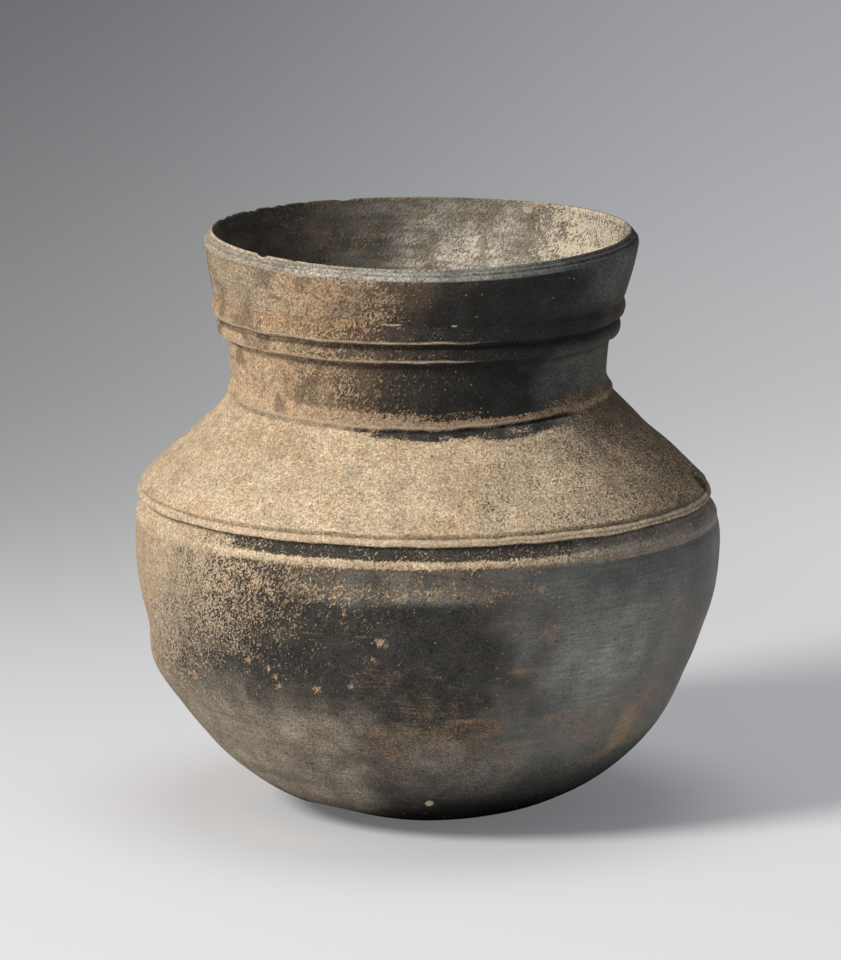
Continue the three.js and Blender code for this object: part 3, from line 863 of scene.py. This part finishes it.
crust = closed_round(crust_cover)
line_depth, line_and_shadow_dark = closed_round(lines_cracks_and_shadows).T
pale = closed_round(pale_marks_and_highlights)
clay_colour = np.where(outer[:, None] > 0, closed_round(under_colour), closed_round(inside_colour))
sandy_colour = closed_round(crust_colour)
rust = rust_cover()
smooth_places = wiped_smooth()
shine = gloss()

bent = by_hand(skin)
wander = 0.5 * (noise(7, 61) - 0.5) * between(height, BAND_FOOT + 3, RIM - 6, 2) * outer
bent[:, 2] += wander - rim_chips()
bent += grid_normals(bent, row_total) * (relief() + line_depth)[:, None]
skin_normals = grid_normals(bent, row_total)


def section_rings(name):
    """The rows that close one section, each with its number on the skin, or -1 if hidden, and its place."""
    rings = []
    blocks = section_stretches[name]
    for i, (first, last) in enumerate(blocks):
        rings.extend((row, skin_rows[row]) for row in range(first, last + 1))
        start, end = skin_rows[last], skin_rows[blocks[(i + 1) % len(blocks)][0]]
        line = [start, *JOINTS[name][i], end]
        if len(line) > 2 or np.hypot(*(end - start)) > 1e-6:
            rings.extend((-1, place) for place in resample(line, HIDDEN_STEP)[1:-1])
    return rings


def section_mesh(name):
    """The closed mesh of one section, and the number on the skin of each of its vertices, or -1."""
    rings = section_rings(name)
    count = len(rings)
    source = np.array([row for row, _ in rings])
    bent_grid = bent.reshape(ROUND_STEPS, row_total, 3)
    normal_grid = skin_normals.reshape(ROUND_STEPS, row_total, 3)
    no_normals = np.zeros((ROUND_STEPS, 3))
    columns = [bent_grid[:, row] if row >= 0 else by_hand(turned(place[None, :])) for row, place in rings]
    normals = [normal_grid[:, row] if row >= 0 else no_normals for row, _ in rings]
    points = np.stack(columns, axis=1).reshape(-1, 3)
    index = np.arange(ROUND_STEPS * count).reshape(ROUND_STEPS, count)
    on_axis = [row >= 0 and place[0] < 1e-6 for row, place in rings]
    for j in np.nonzero(on_axis)[0]:
        index[:, j] = index[0, j]
    after = np.roll(index, -1, axis=0)
    quads, triangles, quad_smooth, triangle_smooth = [], [], [], []
    for j in range(count):
        k = (j + 1) % count
        if on_axis[j] and on_axis[k]:
            continue
        smooth = min(source[j], source[k]) >= 0 and abs(source[j] - source[k]) == 1
        around = [index[:, j], after[:, j], after[:, k], index[:, k]]
        if on_axis[j] or on_axis[k]:
            around.pop(1 if on_axis[j] else 2)
            triangles.append(np.column_stack(around))
            triangle_smooth.append(smooth)
        else:
            quads.append(np.column_stack(around))
            quad_smooth.append(smooth)
    quads = np.concatenate(quads)
    triangles = np.concatenate(triangles) if triangles else np.zeros((0, 3), int)
    smooth_faces = np.repeat(np.array(quad_smooth + triangle_smooth), ROUND_STEPS)
    used = np.unique(np.concatenate([quads.ravel(), triangles.ravel()]))
    renumber = np.full(len(points), -1)
    renumber[used] = np.arange(len(used))
    corners = renumber[np.concatenate([quads.ravel(), triangles.ravel()])]
    sizes = np.concatenate([np.full(len(quads), 4), np.full(len(triangles), 3)])
    starts = np.concatenate([[0], np.cumsum(sizes)[:-1]])

    mesh = bpy.data.meshes.new(name)
    mesh.vertices.add(len(used))
    mesh.vertices.foreach_set("co", (points[used] * MM).ravel())
    mesh.loops.add(len(corners))
    mesh.loops.foreach_set("vertex_index", corners)
    mesh.polygons.add(len(sizes))
    mesh.polygons.foreach_set("loop_start", starts)
    mesh.update(calc_edges=True)
    mesh.validate()
    mesh.shade_smooth()
    # The skin's own normals run on across the seams, so no seam shows that the clay doesn't have
    all_normals = np.stack(normals, axis=1).reshape(-1, 3)[used]
    face_normals = np.zeros(len(sizes) * 3)
    mesh.polygons.foreach_get("normal", face_normals)
    face_of_corner = np.repeat(np.arange(len(sizes)), sizes)
    flat_normals = face_normals.reshape(-1, 3)[face_of_corner]
    on_smooth_face = smooth_faces[face_of_corner][:, None]
    corner_normals = np.where(on_smooth_face, all_normals[corners], flat_normals)
    mesh.normals_split_custom_set(corner_normals.tolist())

    step_of = np.repeat(np.arange(ROUND_STEPS), count)[used]
    row_of = np.tile(source, ROUND_STEPS)[used]
    return mesh, np.where(row_of >= 0, step_of * row_total + row_of, -1)


def set_values(mesh, layer, values, skin_index):
    """Gives the vertices of a section the values of a layer, and 0 inside the clay."""
    result = np.where(skin_index >= 0, values[skin_index].T, 0).T
    is_colour = values.ndim == 2
    if is_colour:
        result = np.column_stack([result, np.ones(len(result))])
    data = mesh.attributes.new(layer, "FLOAT_COLOR" if is_colour else "FLOAT", "POINT").data
    data.foreach_set("color" if is_colour else "value", result.ravel().astype(np.float32))


# A small kit for building node materials
STROKE_SLANT = math.radians(40)
NOISE_RANGE = (0.3, 0.7)


class Nodes:
    def __init__(self, name):
        self.material = bpy.data.materials.new(name)
        self.material.use_nodes = True
        self.tree = self.material.node_tree
        self.tree.nodes.clear()
        self.output = self.add("ShaderNodeOutputMaterial")
        self.shader = self.add("ShaderNodeBsdfPrincipled")
        self.link(self.shader.outputs[0], self.output.inputs[0])

    def add(self, kind, inputs=None, **settings):
        """A new node with its settings, and with values or links for its inputs."""
        node = self.tree.nodes.new(kind)
        for key, value in settings.items():
            setattr(node, key, value)
        for key, value in (inputs or {}).items():
            self.put(node.inputs[key], value)
        return node

    def link(self, source, target):
        self.tree.links.new(source, target)

    def put(self, socket, value):
        if isinstance(value, tuple):
            socket.default_value = (*value, 1)
        elif isinstance(value, (int, float)):
            socket.default_value = value
        else:
            self.link(value, socket)

    def attribute(self, name, output="Fac"):
        return self.add("ShaderNodeAttribute", attribute_name=name).outputs[output]

    def stretched(self, vector, across, up):
        node = self.add("ShaderNodeVectorMath", {0: vector}, operation="MULTIPLY")
        node.inputs[1].default_value = (across, across, up)
        return node.outputs[0]

    def slanted(self, vector, across, along):
        """Turns the vector and scales it, so that noise on it makes slanting strokes."""
        node = self.add("ShaderNodeMapping", {"Vector": vector}, vector_type="TEXTURE")
        node.inputs["Rotation"].default_value = (0, STROKE_SLANT, 0)
        node.inputs["Scale"].default_value = (1 / across, 1 / across, 1 / along)
        return node.outputs[0]

    def noise(self, vector, scale, detail, roughness):
        inputs = {"Vector": vector, "Scale": scale, "Detail": detail, "Roughness": roughness}
        return self.add("ShaderNodeTexNoise", inputs).outputs["Fac"]

    def spread(self, value, low, high, new_low=0.0, new_high=1.0):
        inputs = {"Value": value, "From Min": low, "From Max": high, "To Min": new_low, "To Max": new_high}
        return self.add("ShaderNodeMapRange", inputs, interpolation_type="SMOOTHSTEP").outputs["Result"]

    def ranged(self, noise, new_low=0.0, new_high=1.0):
        """Noise led from its usual range to a new one."""
        return self.spread(noise, *NOISE_RANGE, new_low, new_high)

    def maths(self, operation, a, b):
        return self.add("ShaderNodeMath", {0: a, 1: b}, operation=operation).outputs[0]

    def times(self, a, b):
        return self.maths("MULTIPLY", a, b)

    def plus(self, a, b):
        return self.maths("ADD", a, b)

    def minus(self, a, b):
        return self.maths("SUBTRACT", a, b)

    def weighed(self, *terms):
        """The sum of values, each times its own weight."""
        return functools.reduce(self.plus, [self.times(*term) for term in terms])

    def specks(self, vector, scale, kept, size, most=1.0):
        """Round specks in random cells, from 0 to most. Cells have one where their number is past the span
        kept, and it ends between the two distances of size."""
        cells = self.add("ShaderNodeTexVoronoi", {"Vector": vector, "Scale": scale}).outputs
        number = self.add("ShaderNodeSeparateColor", {0: cells["Color"]}).outputs[0]
        return self.times(self.spread(number, *kept), self.spread(cells["Distance"], *size, most, 0.0))

    def mix(self, factor, a, b, blend="MIX"):
        node = self.add("ShaderNodeMix", {"Factor": factor}, data_type="RGBA", blend_type=blend)
        colours = [socket for socket in node.inputs if socket.type == "RGBA"]
        self.put(colours[0], a)
        self.put(colours[1], b)
        return [socket for socket in node.outputs if socket.type == "RGBA"][0]

    def toned(self, colour, tone):
        """The colour times a grey tone."""
        grey = self.add("ShaderNodeCombineColor", {0: tone, 1: tone, 2: tone}).outputs[0]
        return self.mix(1.0, colour, grey, "MULTIPLY")


def clay_material():
    n = Nodes("fired_clay")
    place = n.add("ShaderNodeTexCoord").outputs["Object"]
    crust, pale, dark, wiped, rust = map(n.attribute, ("crust", "pale", "dark", "wiped", "rust"))
    sand, under = n.attribute("sand", "Color"), n.attribute("under", "Color")

    # Crust lies on the clay grain by grain, so its edge breaks up into specks
    fine = n.ranged(n.noise(place, 2100, 2, 0.6))
    strokes = n.ranged(n.noise(n.slanted(place, 1400, 680), 1, 3, 0.6))
    cluster = n.ranged(n.noise(place, 260, 3, 0.6))
    pattern = n.weighed((fine, 0.4), (strokes, 0.42), (cluster, 0.18))
    softer = n.times(wiped, 0.25)
    low, high = n.minus(-0.085, softer), n.plus(0.105, softer)
    covered = n.spread(n.minus(crust, pattern), low, high)

    # Colour of the crust: blotches, single grains and small dark gaps
    blotch = n.ranged(n.noise(place, 90, 5, 0.6), 0.88, 1.1)
    grain = n.ranged(n.noise(place, 1300, 4, 0.8), 0.52, 1.56)
    pit = n.spread(n.noise(place, 1900, 1, 0.5), 0.27, 0.41, 0.4, 1.0)
    lumps = n.ranged(n.noise(place, 520, 3, 0.7), 0.84, 1.18)
    grain = n.times(n.times(n.times(grain, pit), lumps), blotch)
    tan = n.toned(sand, n.spread(wiped, 0, 1, grain, 1.0))
    rusty_grains = n.specks(place, 900, (0.86, 0.92), (0.2, 0.4), 0.55)
    tan = n.mix(rusty_grains, tan, (0.36, 0.20, 0.10))

    # Colour of the clay: clouds, grain, wiping lines, pinholes and pale grit
    cloud = n.noise(place, 120, 5, 0.6)
    lines = n.noise(n.stretched(place, 90, 1500), 1, 3, 0.6)
    speckle = n.times(n.ranged(n.noise(place, 1500, 4, 0.8), 0.36, 1.79), n.ranged(lines, 0.88, 1.12))
    rubbed = n.times(n.ranged(n.noise(place, 1300, 3, 0.8), 0.68, 1.32), n.ranged(lines, 0.78, 1.22))
    tone = n.times(n.ranged(cloud, 0.76, 1.26), n.spread(wiped, 0, 1, speckle, rubbed))
    smear = n.weighed((n.ranged(lines), 0.34), (fine, 0.36), (cluster, 0.3))
    rusted = n.spread(n.minus(rust, smear), -0.3, 0.35, 0.0, 0.7)
    clay = n.toned(n.mix(rusted, under, (0.235, 0.15, 0.085)), tone)
    holes = n.specks(n.stretched(place, 380, 620), 1, (0.5, 0.95), (0.1, 0.25))
    clay = n.mix(n.times(holes, 0.75), clay, (0.015, 0.015, 0.015))
    pale_grit = n.specks(place, 640, (0.935, 0.95), (0.12, 0.22), 0.75)
    clay = n.mix(pale_grit, clay, (0.42, 0.33, 0.24))

    colour = n.mix(covered, clay, tan)
    # Pale wear, cracks and grains, and painted highlights on the cordons and the crest
    wear_and_highlight_grain = n.spread(n.plus(pale, n.times(fine, 0.35)), 0.35, 1.1)
    colour = n.mix(n.times(wear_and_highlight_grain, 0.85), colour, (0.62, 0.49, 0.35))
    # Dark lines and cracks, and painted shadows under the cordons and the crest
    colour = n.mix(n.times(dark, 0.9), colour, (0.012, 0.011, 0.010))
    bare_roughness = n.spread(wiped, 0, 1, 0.74, n.ranged(cloud, 0.40, 0.54))

    # Fine relief: grains where there is crust, pinholes and wiping lines elsewhere
    heights = n.weighed(
        (n.noise(place, 1400, 4, 0.75), n.spread(covered, 0, 1, 0.45, 1.0)),
        (covered, 0.16),
        (lumps, n.times(covered, 0.9)),
        (holes, -0.4),
        (lines, 0.15),
    )
    heights = n.times(heights, n.spread(wiped, 0, 1, 1.0, 0.35))
    bump = n.add("ShaderNodeBump", {"Distance": 0.0008, "Strength": 0.9, "Height": heights})
    n.put(n.shader.inputs["Base Color"], colour)
    n.put(n.shader.inputs["Roughness"], n.spread(covered, 0, 1, bare_roughness, 0.92))
    n.put(n.shader.inputs["Specular IOR Level"], n.attribute("gloss"))
    n.put(n.shader.inputs["Normal"], bump.outputs[0])
    return n.material


def add_object(name, data):
    made = bpy.data.objects.new(name, data)
    scene.collection.objects.link(made)
    return made


LAYERS = {
    "crust": crust,
    "under": clay_colour,
    "sand": sandy_colour,
    "wiped": smooth_places,
    "rust": rust,
    "gloss": shine,
    "pale": pale,
    "dark": line_and_shadow_dark,
}
scene = bpy.context.scene
clay = clay_material()
for name in section_stretches:
    mesh, skin_index = section_mesh(name)
    for layer, values in LAYERS.items():
        set_values(mesh, layer, values, skin_index)
    mesh.materials.append(clay)
    piece = add_object("clay_" + name, mesh)
    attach(piece, "root")
    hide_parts(name)


def floor_material():
    """A pale table top with painted shade, darker away from the jar and to its left, and with a little
    light of its own.
    """
    n = Nodes("pale_floor")
    place = n.add("ShaderNodeTexCoord").outputs["Object"]
    parts = n.add("ShaderNodeSeparateXYZ", {0: place}).outputs
    # Painted shade: the tone falls off away from the jar and towards the left
    near_tone = n.spread(parts["Y"], -0.12, 0.82)
    far_tone = n.spread(parts["Y"], 0.4, 2.3)
    tone = n.mix(near_tone, (0.84, 0.845, 0.865), (0.61, 0.615, 0.63))
    tone = n.mix(far_tone, tone, (0.66, 0.67, 0.69))
    near_side = n.spread(parts["X"], -0.34, 0.34, 0.965, 1.03)
    far_side = n.spread(parts["X"], -0.34, 0.34, 0.57, 1.45)
    tone = n.toned(tone, n.spread(near_tone, 0.1, 0.8, near_side, far_side))
    n.put(n.shader.inputs["Base Color"], tone)
    n.put(n.shader.inputs["Roughness"], 0.9)
    path = n.add("ShaderNodeLightPath").outputs
    seen = n.maths("MAXIMUM", path["Is Camera Ray"], path["Is Glossy Ray"])
    seen = n.maths("MAXIMUM", seen, path["Is Transmission Ray"])
    painted_light = n.add("ShaderNodeEmission", {"Color": tone}).outputs[0]
    blend = n.add("ShaderNodeMixShader", {0: n.times(seen, 0.15), 1: n.shader.outputs[0], 2: painted_light})
    n.link(blend.outputs[0], n.output.inputs[0])
    return n.material


FLOOR_HALF = 8.0
floor_corners = [(x * FLOOR_HALF, y * FLOOR_HALF, 0) for x, y in ((-1, -1), (1, -1), (1, 1), (-1, 1))]
floor_mesh = bpy.data.meshes.new("floor")
floor_mesh.from_pydata(floor_corners, [], [(0, 1, 2, 3)])
floor_mesh.materials.append(floor_material())
floor = add_object("floor", floor_mesh)

# The camera stands where the photographer stood: 2.1 m away, looking down 11.1 degrees
CAMERA_DISTANCE = 2.1
CAMERA_ELEVATION = math.radians(11.1)
AIM = (-0.0013, 0.0, 0.09)
AIM_BELOW_MIDDLE, PICTURE_HEIGHT = 42, 960
LENS, SENSOR_WIDTH = 252, 36
camera_data = bpy.data.cameras.new("camera")
camera_data.lens = LENS
camera_data.sensor_width = SENSOR_WIDTH
camera_data.sensor_fit = "AUTO"
camera_data.shift_y = AIM_BELOW_MIDDLE / PICTURE_HEIGHT
camera = add_object("camera", camera_data)
camera.location = (
    AIM[0],
    AIM[1] - CAMERA_DISTANCE * math.cos(CAMERA_ELEVATION),
    AIM[2] + CAMERA_DISTANCE * math.sin(CAMERA_ELEVATION),
)
camera.rotation_euler = (math.pi / 2 - CAMERA_ELEVATION, 0, 0)
scene.camera = camera

LIT_MIDDLE = Vector((0, 0, 0.1))


def area_light(name, place, size, energy, colour):
    """A round soft light that looks at the middle of the jar."""
    data = bpy.data.lights.new(name, "AREA")
    data.shape = "DISK"
    data.size = size
    data.energy = energy
    data.color = colour
    light = add_object(name, data)
    light.location = place
    light.rotation_euler = (LIT_MIDDLE - Vector(place)).to_track_quat("-Z", "Y").to_euler()


area_light("key", (-1.55, -1.28, 1.4), 0.7, 52, (1.0, 0.965, 0.915))
area_light("top", (0.05, 0.05, 1.5), 1.0, 5.5, (1.0, 0.985, 0.96))
area_light("fill", (1.8, -1.2, 0.45), 1.2, 5, (0.88, 0.95, 1.0))

world = bpy.data.worlds.new("studio")
world.use_nodes = True
background = world.node_tree.nodes["Background"]
background.inputs["Color"].default_value = (0.85, 0.9, 1.0, 1)
background.inputs["Strength"].default_value = 0.16
scene.world = world
scene.view_settings.view_transform = "Standard"
